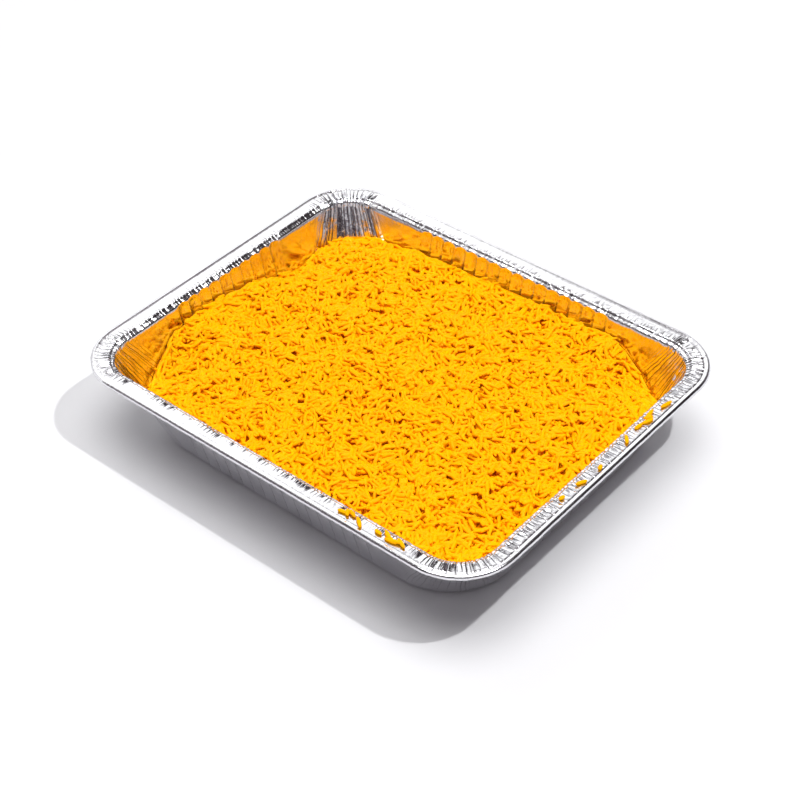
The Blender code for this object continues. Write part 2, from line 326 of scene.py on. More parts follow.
@dataclass(frozen=True)
class RiceFinish:
    """Cooked long-grain rice coloured with turmeric, moist but not oily.

    Each grain has its own tone, and a soft sheen with small glints. Light passes through
    a cooked grain, so its sides are nearly as bright as its top: evening leans the shading
    normal upwards, which gives that without noise where the grains overlap.
    """

    name: str = "cooked_yellow_rice"
    deep_colour: str = "#FFA600"
    bright_colour: str = "#FFB400"
    roughness: float = 0.35
    specular: float = 0.03
    mottle_size: float = 1.6
    mottle_share: float = 0.35
    skin_depth: float = 0.05
    skin_strength: float = 0.6
    evening: float = 0.30

    def material(self) -> bpy.types.Material:
        """Return the rice's material, made once, which reads the grains' tone attribute."""
        if self.name in bpy.data.materials:
            return bpy.data.materials[self.name]
        material, tree, shader = new_material(self.name)
        place = add_node(tree, "ShaderNodeTexCoord", {}, "Object")
        tone = add_node(tree, "ShaderNodeAttribute", {"attribute_name": "tone"}, "Fac")
        scale = 1 / (self.mottle_size * MM)
        mottle = add_node(tree, NOISE, {"Scale": scale, "Detail": 2.0, "Vector": place})
        share = add_node(tree, MIX, {"data_type": "FLOAT", 0: self.mottle_share, 2: tone, 3: mottle})
        deep, bright = linear(self.deep_colour), linear(self.bright_colour)
        colour = add_node(tree, MIX, {"data_type": "RGBA", 0: share, 6: deep, 7: bright}, 2)
        facing = add_node(tree, "ShaderNodeNewGeometry", {}, "Normal")
        upwards = (0.0, 0.0, 1.0)
        evened = add_node(tree, MIX, {"data_type": "VECTOR", 0: self.evening, 4: facing, 5: upwards}, 1)
        evened = add_node(tree, "ShaderNodeVectorMath", {"operation": "NORMALIZE", 0: evened})
        skin = {"Distance": self.skin_depth * MM, "Strength": self.skin_strength}
        bump = add_node(tree, "ShaderNodeBump", {**skin, "Height": mottle, "Normal": evened})
        shader.inputs["Roughness"].default_value = self.roughness
        shader.inputs["Specular IOR Level"].default_value = self.specular
        link_all(tree, shader, {"Base Color": colour, "Normal": bump})
        return material


@dataclass(frozen=True)
class FloorFinish:
    """Matt white studio board, which gives a plain pale ground with soft shadows."""

    colour: str = "#D9D9DB"
    roughness: float = 0.75
    tooth_size: float = 0.8
    tooth_depth: float = 0.02
    tooth_strength: float = 0.3

    def material(self) -> bpy.types.Material:
        """Return the board's material."""
        material, tree, shader = new_material("white_studio_board")
        place = add_node(tree, "ShaderNodeTexCoord", {}, "Object")
        tooth = add_node(tree, NOISE, {"Scale": 1 / (self.tooth_size * MM), "Vector": place})
        relief = {"Distance": self.tooth_depth * MM, "Strength": self.tooth_strength}
        bump = add_node(tree, "ShaderNodeBump", {**relief, "Height": tooth})
        shader.inputs["Base Color"].default_value = linear(self.colour)
        shader.inputs["Roughness"].default_value = self.roughness
        link_all(tree, shader, {"Normal": bump})
        return material


@dataclass(frozen=True)
class TrayForm:
    """Sizes of the pressed tray, shared by the foil and by the rice inside it."""

    rim_length: float = 324.0
    rim_width: float = 264.7
    height: float = 57.3
    rim_corner_radius: float = 40.0
    base_corner_radius: float = 46.0
    bead_diameter: float = 3.6
    flange_height: float = 56.7
    flange_edge_inset: float = 11.7
    lip_inset: float = 15.7
    lip_height: float = 52.1
    foot_inset: float = 27.0
    foot_height: float = 5.0
    base_inset: float = 28.8
    base_height: float = 1.7

    def wall_inset(self, height: np.ndarray | float) -> np.ndarray:
        """Return the inset of the wall's food side from the rim at a height."""
        heights = (self.base_height, self.foot_height, self.lip_height)
        return np.interp(height, heights, (self.base_inset, self.foot_inset, self.lip_inset))

    def wall_radius(self, height: np.ndarray | float) -> np.ndarray:
        """Return the corner radius of the wall's food side at a height."""
        top_radius = self.rim_corner_radius - self.lip_inset
        return np.interp(height, (0.0, self.lip_height), (self.base_corner_radius, top_radius))

    def wall_gap(self, x: np.ndarray, y: np.ndarray, height: np.ndarray) -> np.ndarray:
        """Find how far points lie inside the wall's food side.

        Args:
            x: The points' places along the tray.
            y: The points' places across the tray.
            height: The points' heights.

        Returns:
            The gap of each point to the wall at its height.
        """
        inset, radius = self.wall_inset(height), self.wall_radius(height)
        over_x = np.maximum(np.abs(x) - (self.rim_length / 2 - inset - radius), 0.0)
        over_y = np.maximum(np.abs(y) - (self.rim_width / 2 - inset - radius), 0.0)
        gap_x, gap_y = self.rim_length / 2 - inset - np.abs(x), self.rim_width / 2 - inset - np.abs(y)
        in_corner = (over_x > 0) & (over_y > 0)
        return np.where(in_corner, radius - np.hypot(over_x, over_y), np.minimum(gap_x, gap_y))


@dataclass(frozen=True)
class CreaseStyle:
    """How the press folded one kind of stretch.

    share is the part of its folds that stand out, spacing, depth and reach are ranges in
    millimetres, and slant is how far the folds lean.
    """

    share: float
    spacing: tuple[float, float]
    depth: tuple[float, float]
    reach: tuple[float, float]
    slant: float


FLANGE_CREASES = {
    Stretch.RIGHT_SIDE: CreaseStyle(0.80, (0.9, 2.4), (0.15, 0.50), (3.5, 7.5), 0.20),
    Stretch.FAR_SIDE: CreaseStyle(0.30, (0.9, 2.2), (0.12, 0.34), (1.5, 4.5), 0.70),
    Stretch.LEFT_SIDE: CreaseStyle(0.30, (0.9, 2.2), (0.08, 0.22), (1.5, 5.5), 0.50),
    Stretch.NEAR_SIDE: CreaseStyle(0.34, (0.8, 1.6), (0.20, 0.46), (2.4, 5.0), 0.35),
    Stretch.CORNER: CreaseStyle(0.95, (0.9, 1.9), (0.18, 0.50), (3.5, 7.5), 0.15),
}

SMOOTH_WALL = CreaseStyle(0.30, (3.0, 8.0), (0.04, 0.16), (10.0, 40.0), 0.05)
PLEATED_WALL = CreaseStyle(0.80, (1.0, 2.8), (0.12, 0.55), (10.0, 46.0), 0.12)
WALL_CREASES = {**dict.fromkeys(Stretch, SMOOTH_WALL), Stretch.CORNER: PLEATED_WALL}

CRIMPED_BEAD = CreaseStyle(0.75, (0.9, 1.9), (0.06, 0.22), (1.2, 2.6), 0.10)
BEAD_CREASES = dict.fromkeys(Stretch, CRIMPED_BEAD)


@dataclass(frozen=True)
class FoldStyle:
    """How strongly one kind of stretch is gathered in fine folds on its flange and its wall.

    reach is how far the flange's folds run across it, and patchy how far they come in groups.
    """

    flange: float
    reach: float
    wall: float
    patchy: float


FINE_FOLDS = {
    Stretch.RIGHT_SIDE: FoldStyle(0.95, 8.5, 0.04, 0.3),
    Stretch.FAR_SIDE: FoldStyle(0.50, 4.5, 0.04, 0.7),
    Stretch.LEFT_SIDE: FoldStyle(0.45, 5.0, 0.04, 0.6),
    Stretch.NEAR_SIDE: FoldStyle(0.80, 5.0, 0.04, 0.9),
    Stretch.CORNER: FoldStyle(1.00, 10.0, 0.85, 0.1),
}


@dataclass
class FoilTray:
    """The pressed foil tray, one thin sheet from the rolled bead to the flat base.

    The sheet is twice as thick as real foil, so that it closes and still reads as thin.
    """

    form: TrayForm
    finish: FoilFinish
    thickness: float = 0.22
    flute_pitch: float = 9.6
    flutes: tuple[int, int] = (10, 16)
    flute_columns: int = 12
    plain_columns: tuple[int, int] = (44, 48)
    corner_columns: int = 70
    bead_angles: tuple[float, ...] = (-20.0, -68.0, -116.0, -164.0, -205.0, -240.0, -268.0, -290.0)
    hammering: dict[Stretch, float] = field(
        default_factory=lambda: {
            Stretch.RIGHT_SIDE: 0.20,
            Stretch.FAR_SIDE: 0.35,
            Stretch.LEFT_SIDE: 0.34,
            Stretch.NEAR_SIDE: 0.22,
            Stretch.CORNER: 0.42,
        }
    )
    crumpling: float = 0.55
    wall_crinkle: float = 0.05
    bead_crinkle: float = 0.15
    dimple_size: float = 1.8
    dimple_depth: float = 0.18
    sway_sizes: tuple[float, float] = (17.0, 12.0)
    sway_depth: float = 0.08
    seam: float = 4.0
    fade_power: float = 0.6
    blend_columns: int = 17
    slant_every: int = 4
    behinds: tuple[float, float, float] = (5.0, 3.0, 3.5)
    run_inset: float = 8.0
    group_size: float = 9.0
    group_contrast: float = 3.0
    uneven_size: float = 3.0
    uneven_reach: float = 0.5
    uneven_pleats: float = 0.6
    flange_ramp: float = 1.6
    step_share: float = 0.6
    pleat_length: float = 34.0
    pleat_ramp: float = 1.4
    bead_fold: float = 0.2
    bead_top: int = 3
    bead_rows: int = 4
    flange_row: int = 8
    flat_height: float = 1.0
    settled_height: float = 9.0
    sharpest: float = 50.0
    seed: int = 41
    stretch: np.ndarray = field(init=False)
    quarter: np.ndarray = field(init=False)
    lead: np.ndarray = field(init=False)
    fixed: np.ndarray = field(init=False)
    angle: np.ndarray = field(init=False)
    arc: np.ndarray = field(init=False)

    def __post_init__(self) -> None:
        """Lay out the columns round the tray: a side's plain and fluted stretches, then a corner."""
        columns = []
        for quarter in range(4):
            kind = quarter % 2
            half_flutes = self.flutes[kind] * self.flute_pitch / 2
            plain = np.arange(self.plain_columns[kind]) / self.plain_columns[kind]
            fluted = np.arange(self.flutes[kind] * self.flute_columns) / self.flute_columns
            turn = np.arange(self.corner_columns) / self.corner_columns
            for share in plain:
                columns.append((quarter, quarter, share - 1, -share * half_flutes, 0.0, 0.0))
            for number in fluted:
                # Each flute bulges as a round arc, and meets the next in a sharp valley.
                arc = 1 - abs(2 * (number % 1) - 1) ** 2.0
                place = number * self.flute_pitch - half_flutes
                columns.append((quarter, quarter, 0.0, place, 0.0, arc))
            for share in plain:
                columns.append((quarter, quarter, share, (1 - share) * half_flutes, 0.0, 0.0))
            for share in turn:
                columns.append((quarter, Stretch.CORNER.value, 1.0, 0.0, share * math.pi / 2, 0.0))
        table = np.array(columns + columns[:1])
        self.quarter, self.stretch = table[:, 0].astype(int), table[:, 1].astype(int)
        self.lead, self.fixed, self.angle, self.arc = table[:, 2:].T

    def section(self) -> np.ndarray:
        """Return the sheet's section, one row each: inset, height and the flutes' bulge."""
        radius = self.form.bead_diameter / 2
        rows = []
        for degrees in self.bead_angles:
            turn = math.radians(degrees)
            inset = radius + radius * math.cos(turn)
            rows.append((inset, self.form.height - radius + radius * math.sin(turn), 0.0))
        rows += [(3.9, 56.48, 0.0), (4.4, 56.64, 0.0)]
        for inset in np.linspace(5.1, 11.5, 8):
            rows.append((inset, self.form.flange_height - 0.015 * (inset - 4.5), 0.0))
        rows += [(11.95, 56.2, 0.0), (12.5, 55.5, 0.0)]
        rows += [(13.0, 55.3, 0.0), (13.8, 55.1, 0.1), (14.6, 54.8, 0.3)]
        rows += [(15.2, 53.9, 0.8), (self.form.lip_inset, self.form.lip_height, 1.8)]
        for height in (50.6, 48.6, 46.2, 43.2, 39.6, 35.0, 28.5, 17.0, self.form.foot_height):
            bulge = np.interp(height, (self.form.foot_height, self.form.lip_height), (0.9, 2.2))
            rows.append((float(self.form.wall_inset(height)), height, float(bulge)))
        rows += [(27.5, 3.2, 0.6), (28.4, 1.6, 0.2), (29.6, 0.7, 0.0), (31.5, self.thickness, 0.0)]
        return np.array(rows)

    def ring(self, inset: float, radius: float, bulge: float) -> tuple[np.ndarray, np.ndarray]:
        """Place the columns along one row's rounded rectangle.

        Args:
            inset: The row's inset from the rim's outer edge.
            radius: Its corner radius.
            bulge: How far the flutes' arcs stand out of it.

        Returns:
            The columns' places and their directions outwards.
        """
        even = self.quarter % 2 == 0
        half_x, half_y = self.form.rim_length / 2 - inset, self.form.rim_width / 2 - inset
        reach, run = np.where(even, half_x, half_y), np.where(even, half_y, half_x)
        out = reach - radius + radius * np.cos(self.angle) + bulge * self.arc
        along = self.lead * (run - radius) + self.fixed + radius * np.sin(self.angle)
        turn = self.quarter * math.pi / 2
        x, y = out * np.cos(turn) - along * np.sin(turn), out * np.sin(turn) + along * np.cos(turn)
        facing = turn + self.angle
        return np.stack((x, y), 1), np.stack((np.cos(facing), np.sin(facing)), 1)

    def folds(
        self,
        styles: dict[Stretch, CreaseStyle],
        run: np.ndarray,
        distance: np.ndarray,
        behind: float,
        seed: int,
    ) -> np.ndarray:
        """Fold the sheet in flat facets across its run, as a press gathers foil.

        Args:
            styles: How each kind of stretch is folded.
            run: The columns' places round the rim.
            distance: The rows' distances from the line where the folds are deepest.
            behind: How far the folds run out on the other side of that line.
            seed: The seed of this set of folds.

        Returns:
            The relief of every row and column.
        """
        rng = np.random.default_rng(seed)
        knots, heights, reaches, slants = [0.0], [0.0], [self.seam], [0.0]
        side = 1.0
        while knots[-1] < run[-1] - self.seam:
            style = styles[Stretch(self.stretch[np.searchsorted(run, knots[-1])])]
            side = -side
            stands_out = rng.uniform() < style.share
            knots.append(knots[-1] + rng.uniform(*style.spacing))
            heights.append(side * rng.uniform(*style.depth) if stands_out else 0.0)
            reaches.append(rng.uniform(*style.reach))
            slants.append(rng.normal(0.0, style.slant))
        reach = np.interp(run, knots, reaches)
        every = self.slant_every
        slant = np.interp(run, knots[::every], slants[::every])
        relief = np.zeros((len(distance), len(run)))
        for row, away in enumerate(distance):
            fade = 1 - away / reach if away >= 0 else np.full(len(run), 1 + away / behind)
            shape = np.interp(run - slant * away, knots, heights)
            relief[row] = shape * np.clip(fade, 0.0, 1.0) ** self.fade_power
        return relief

    def even_out(self, values: np.ndarray) -> np.ndarray:
        """Return values round the rim, blended where the stretches meet."""
        count = self.blend_columns
        return np.convolve(np.pad(values, count // 2, mode="wrap"), np.ones(count) / count, mode="valid")

    def gather(self, run: np.ndarray, across: np.ndarray, edge: float, lip: float) -> np.ndarray:
        """Work out how strongly the sheet is gathered in fine folds.

        Args:
            run: The columns' places round the rim.
            across: The rows' places along the section.
            edge: The place of the flange's inner edge.
            lip: The place of the wall's top.

        Returns:
            The strength of every row and column.
        """
        styles = [FINE_FOLDS[Stretch(kind)] for kind in self.stretch]
        flange, reach, wall, patchy = (
            self.even_out(np.array([getattr(style, name) for style in styles]))
            for name in ("flange", "reach", "wall", "patchy")
        )
        groups = noise_along(run, self.group_size, 5.3, 1.9)
        uneven = noise_along(run, self.uneven_size, 8.8, 4.1)
        flange = flange * (1 - patchy * (1 - np.clip(0.5 + self.group_contrast * groups, 0.0, 1.0)))
        reach = reach * (1 + self.uneven_reach * uneven)
        pleats = self.pleat_length * (1 + self.uneven_pleats * uneven)
        fold = np.zeros((len(across), len(run)))
        for row, place in enumerate(across):
            if place <= edge:
                fold[row] = flange * np.clip(self.flange_ramp * (1 - (edge - place) / reach), 0.0, 1.0)
            elif place <= lip:
                fold[row] = np.maximum(self.step_share * flange, wall)
            else:
                fold[row] = wall * np.clip(self.pleat_ramp - (place - lip) / pleats, 0.0, 1.0)
        return np.maximum(fold, self.bead_fold * (across < across[self.bead_rows])[:, None])

    def relief(
        self, section: np.ndarray, run: np.ndarray, across: np.ndarray
    ) -> tuple[np.ndarray, np.ndarray, np.ndarray]:
        """Work out the sheet's relief along its own normal, how crinkled it is and how gathered.

        Args:
            section: The section's rows.
            run: The columns' places round the rim.
            across: The rows' places along the section.

        Returns:
            The relief, the crinkle and the gathering of every row and column.
        """
        edge = across[np.argmax(section[:, 0] > self.form.flange_edge_inset)]
        lip = across[np.argmax(section[:, 1] == self.form.lip_height)]
        sets = (
            (FLANGE_CREASES, edge - across),
            (WALL_CREASES, across - lip),
            (BEAD_CREASES, across - across[self.bead_top]),
        )
        relief = np.zeros((len(across), len(run)))
        for number, ((styles, distance), behind) in enumerate(zip(sets, self.behinds)):
            relief += self.folds(styles, run, distance, behind, self.seed + number)
        on_flange = self.even_out(np.array([self.hammering[Stretch(kind)] for kind in self.stretch]))
        in_corner = self.stretch == Stretch.CORNER.value
        on_wall = self.even_out(np.where(in_corner, self.crumpling, self.wall_crinkle))
        crinkle = np.where((across > lip)[:, None], on_wall, self.bead_crinkle)
        flange_rows = (across > across[self.flange_row]) & (across <= lip)
        crinkle = np.where(flange_rows[:, None], on_flange, crinkle)
        for row, distance in enumerate(across):
            dimple = noise_along(run, self.dimple_size, distance / self.dimple_size, 3.7)
            sway = noise_along(run, self.sway_sizes[0], distance / self.sway_sizes[1], 9.1)
            relief[row] += self.dimple_depth * crinkle[row] * dimple + self.sway_depth * sway
        relief[:, -1] = relief[:, 0]
        settle = (section[:, 1] - self.flat_height) / (self.settled_height - self.flat_height)
        settle = np.clip(settle, 0.0, 1.0)
        return relief * settle[:, None], crinkle, self.gather(run, across, edge, lip)

    def build(self) -> bpy.types.Object:
        """Model the sheet, close it round and give it the foil's thickness.

        Returns:
            The finished tray.
        """
        section = self.section()
        flange, _ = self.ring(self.run_inset, self.form.rim_corner_radius - self.run_inset, 0.0)
        run = np.concatenate(([0.0], np.cumsum(np.hypot(*np.diff(flange, axis=0).T))))
        across = np.concatenate(([0.0], np.cumsum(np.hypot(*np.diff(section[:, :2], axis=0).T))))
        slopes = np.gradient(section[:, :2], axis=0)
        slopes /= np.hypot(*slopes.T)[:, None]
        relief, crinkle, fold = self.relief(section, run, across)
        places = np.zeros((len(section), len(run), 3))
        for row, (inset, height, bulge) in enumerate(section):
            radius = float(self.form.wall_radius(height))
            if height > self.form.lip_height or inset < self.form.lip_inset:
                radius = self.form.rim_corner_radius - inset
            ring, outwards = self.ring(inset, radius, bulge)
            normal_in, normal_up = -slopes[row, 1], slopes[row, 0]
            places[row, :, :2] = ring - outwards * (relief[row] * normal_in)[:, None]
            places[row, :, 2] = height + relief[row] * normal_up
        tray = start_grid("foil_tray_sheet", len(run), len(section))
        runs = np.broadcast_to(run, fold.shape)
        for name, values in (("crinkle", crinkle), ("fold", fold), ("run", runs)):
            marks = tray.data.attributes.new(name, "FLOAT", "POINT")
            marks.data.foreach_set("value", values.astype(np.float32).ravel())
        close_round(tray, places, (len(section) - 1,))
        wall = tray.modifiers.new("thickness", "SOLIDIFY")
        wall.thickness = self.thickness * MM
        wall.offset = -1.0
        bpy.ops.object.modifier_apply(modifier=wall.name)
        bpy.ops.object.shade_smooth_by_angle(angle=math.radians(self.sharpest))
        return tray

    def dress(self, tray: bpy.types.Object) -> None:
        """Give the tray its foil."""
        tray.data.materials.clear()
        tray.data.materials.append(self.finish.material())
        place_in_frame(tray, "foil", TRAY_NODE)


@dataclass(frozen=True)
class RiceSurface:
    """The broad form of the rice's top.

    Each mound is a middle along and across the tray, a spread both ways and a rise, which
    is below zero for a hollow.
    """

    level: float = 42.0
    crown: float = 1.6
    mounds: tuple[tuple[float, float, float, float, float], ...] = (
        (-139.0, 62.0, 16.0, 27.0, -12.5),
        (124.0, 106.0, 20.0, 18.0, -18.0),
        (-139.0, -92.0, 18.0, 18.0, -19.0),
        (-112.0, 108.0, 26.0, 14.0, -5.5),
        (84.0, 112.0, 17.0, 12.0, 4.5),
        (20.0, 112.0, 24.0, 14.0, 2.0),
        (-142.0, -30.0, 16.0, 24.0, 3.0),
        (-60.0, -70.0, 34.0, 26.0, -1.6),
        (45.0, -92.0, 40.0, 22.0, -2.0),
        (70.0, 20.0, 42.0, 34.0, 1.5),
        (-45.0, 30.0, 30.0, 40.0, 1.4),
        (118.0, -70.0, 24.0, 30.0, -1.8),
    )

    def height(self, form: TrayForm, x: np.ndarray, y: np.ndarray) -> np.ndarray:
        """Find the surface's height.

        Args:
            form: The tray's sizes.
            x: The points' places along the tray.
            y: The points' places across the tray.

        Returns:
            The height at each point.
        """
        share_x, share_y = 2 * x / form.rim_length, 2 * y / form.rim_width
        level = self.level + self.crown * (1 - share_x ** 2) * (1 - share_y ** 2)
        for middle_x, middle_y, spread_x, spread_y, rise in self.mounds:
            reach = ((x - middle_x) / spread_x) ** 2 + ((y - middle_y) / spread_y) ** 2
            level = level + rise * np.exp(-reach / 2)
        return level


@dataclass(frozen=True)
class GrainForm:
    """One kind of grain: its length, thickness and bow, its rings and its share of the heap.

    Each ring is a place along the grain and a width, as shares of its length and thickness.
    """

    kind: GrainKind
    length: float
    diameter: float
    bow: float
    rings: tuple[tuple[float, float], ...]
    share: float

    def model(self) -> tuple[np.ndarray, list[list[int]]]:
        """Model the grain along X and take it out of the scene.

        Returns:
            Its vertices in millimetres and its faces.
        """
        bpy.ops.object.select_all(action="DESELECT")
        bpy.ops.mesh.primitive_uv_sphere_add(
            segments=6, ring_count=5, radius=self.diameter / 2, rotation=(0.0, math.pi / 2, 0.0)
        )
        grain = bpy.context.object
        bpy.ops.object.transform_apply(location=False, rotation=True, scale=False)
        starts = [vertex.co.copy() for vertex in grain.data.vertices]
        levels = sorted({round(start.x, 3) for start in starts})
        bpy.ops.object.mode_set(mode="EDIT")
        bpy.ops.mesh.select_mode(type="VERT")
        targets = ((-0.5, 0.0), *self.rings, (0.5, 0.0))
        for level, (along, share) in zip(levels, targets):
            ring = [index for index, start in enumerate(starts) if abs(start.x - level) < 0.01]
            width = max(math.hypot(starts[index].y, starts[index].z) for index in ring)
            bpy.ops.mesh.select_all(action="DESELECT")
            mesh_data = bmesh.from_edit_mesh(grain.data)
            mesh_data.verts.ensure_lookup_table()
            for index in ring:
                mesh_data.verts[index].select_set(True)
            mesh_data.select_flush_mode()
            bmesh.update_edit_mesh(grain.data)
            middle = (along * self.length, self.bow * (1 - (2 * along) ** 2), 0.0)
            bpy.ops.transform.translate(value=(middle[0] - level, middle[1], 0.0))
            if share:
                swell = share * self.diameter / 2 / width
                bpy.ops.transform.resize(value=(1.0, swell, swell), center_override=middle)
        bpy.ops.object.mode_set(mode="OBJECT")
        vertices = np.array([vertex.co[:] for vertex in grain.data.vertices])
        faces = [list(face.vertices) for face in grain.data.polygons]
        bpy.data.objects.remove(grain)
        return vertices, faces


GRAIN_FORMS = (
    GrainForm(
        GrainKind.WHOLE, 9.4, 2.5, 0.25, ((-0.43, 0.62), (-0.24, 0.97), (0.16, 1.0), (0.41, 0.66)), 0.26
    ),
    GrainForm(
        GrainKind.CURVED, 9.2, 2.4, 1.0, ((-0.44, 0.6), (-0.22, 0.95), (0.18, 1.0), (0.42, 0.62)), 0.20
    ),
    GrainForm(
        GrainKind.SLENDER, 10.4, 2.1, 0.55, ((-0.45, 0.55), (-0.25, 0.92), (0.15, 1.0), (0.43, 0.55)), 0.22
    ),
    GrainForm(
        GrainKind.PLUMP, 8.2, 2.8, 0.15, ((-0.42, 0.7), (-0.22, 1.0), (0.15, 1.0), (0.40, 0.75)), 0.17
    ),
    GrainForm(
        GrainKind.SPLIT, 5.8, 2.5, 0.1, ((-0.46, 0.8), (-0.22, 1.0), (0.14, 0.96), (0.43, 0.62)), 0.15
    ),
)


@dataclass(frozen=True)
class GrainPlace:
    """Where one grain lies: its middle, turn, slope and roll, and its stretch and swell."""

    x: float
    y: float
    z: float
    turn: float
    slope: float
    roll: float
    stretch: float
    swell: float
    tone: float


def join_grains(name: str, form: GrainForm, places: list[GrainPlace]) -> bpy.types.Object:
    """Copy one modelled grain to all its places, as one mesh.

    Args:
        name: The piece's name.
        form: The kind of grain.
        places: Where each grain lies.

    Returns:
        The piece, with each grain's tone as an attribute.
    """
    vertices, faces = form.model()
    copies = []
    for place in places:
        turn = Matrix.Rotation(place.turn, 3, "Z") @ Matrix.Rotation(-place.slope, 3, "Y")
        turn = np.array(turn @ Matrix.Rotation(place.roll, 3, "X"))
        sized = vertices * (place.stretch, place.swell, place.swell)
        copies.append(sized @ turn.T + (place.x, place.y, place.z))
    count = len(vertices)
    joined = np.concatenate(copies) * MM
    all_faces = []
    for first in range(0, len(joined), count):
        all_faces += [[first + index for index in face] for face in faces]
    mesh = bpy.data.meshes.new(name)
    mesh.from_pydata(joined.tolist(), [], all_faces)
    tones = np.repeat([place.tone for place in places], count).astype(np.float32)
    mesh.attributes.new("tone", "FLOAT", "POINT").data.foreach_set("value", tones)
    mesh.shade_smooth()
    piece = bpy.data.objects.new(name, mesh)
    bpy.context.scene.collection.objects.link(piece)
    return piece


STATIONS = np.linspace(-0.5, 0.5, 11)
LINES = np.linspace(-0.9, 0.9, 5)
TAPER = np.interp(np.abs(STATIONS), (0.0, 0.25, 0.42, 0.5), (1.0, 1.0, 0.65, 0.25))
BLUNT = 0.96


@dataclass
class Footprint:
    """The ground under one lying grain, as points on five lines along it."""

    x: float
    y: float
    turn: float
    length: float
    radius: float
    run: np.ndarray = field(init=False)
    across: np.ndarray = field(init=False)
    half_depth: np.ndarray = field(init=False)

    def __post_init__(self) -> None:
        """Lay out the points, and work out how thick the grain is at each."""
        run, across = STATIONS * self.length * BLUNT, LINES * self.radius
        self.run, self.across = np.meshgrid(run, across, indexing="ij")
        self.half_depth = TAPER[:, None] * np.sqrt(np.maximum(self.radius ** 2 - self.across ** 2, 0.0))

    def points(self, flat: float = 1.0) -> tuple[np.ndarray, np.ndarray]:
        """Place the points.

        Args:
            flat: The share of the grain's length that is seen from above.

        Returns:
            The places along and across the tray.
        """
        run, cosine, sine = self.run * flat, math.cos(self.turn), math.sin(self.turn)
        return self.x + run * cosine - self.across * sine, self.y + run * sine + self.across * cosine

    def slope_on(self, support: np.ndarray) -> float:
        """Find the slope at which the grain lies on one point to each side of its middle.

        Args:
            support: The lowest height that its axis can have at each station.

        Returns:
            The slope along the grain.
        """
        left, right = STATIONS < 0.01, STATIONS > -0.01
        position = self.run[:, 0]
        rises = support[right][None, :] - support[left][:, None]
        spans = np.maximum(position[right][None, :] - position[left][:, None], 1e-6)
        at_middle = support[left][:, None] - position[left][:, None] * rises / spans
        best = np.unravel_index(np.argmax(at_middle), at_middle.shape)
        return float(rises[best] / spans[best])


@dataclass(frozen=True)
class Ripples:
    """Uneven rises and hollows, where bent waves cross: each wave's length, bend and its length."""

    along: tuple[float, float, float]
    across: tuple[float, float, float]

    def height(self, x: np.ndarray, y: np.ndarray) -> np.ndarray:
        """Return the height at points, between -1 and 1."""
        length, bend, bend_length = self.along
        along = np.sin(x / length + bend * np.sin(y / bend_length))
        length, bend, bend_length = self.across
        return along * np.sin(y / length + bend * np.sin(x / bend_length))


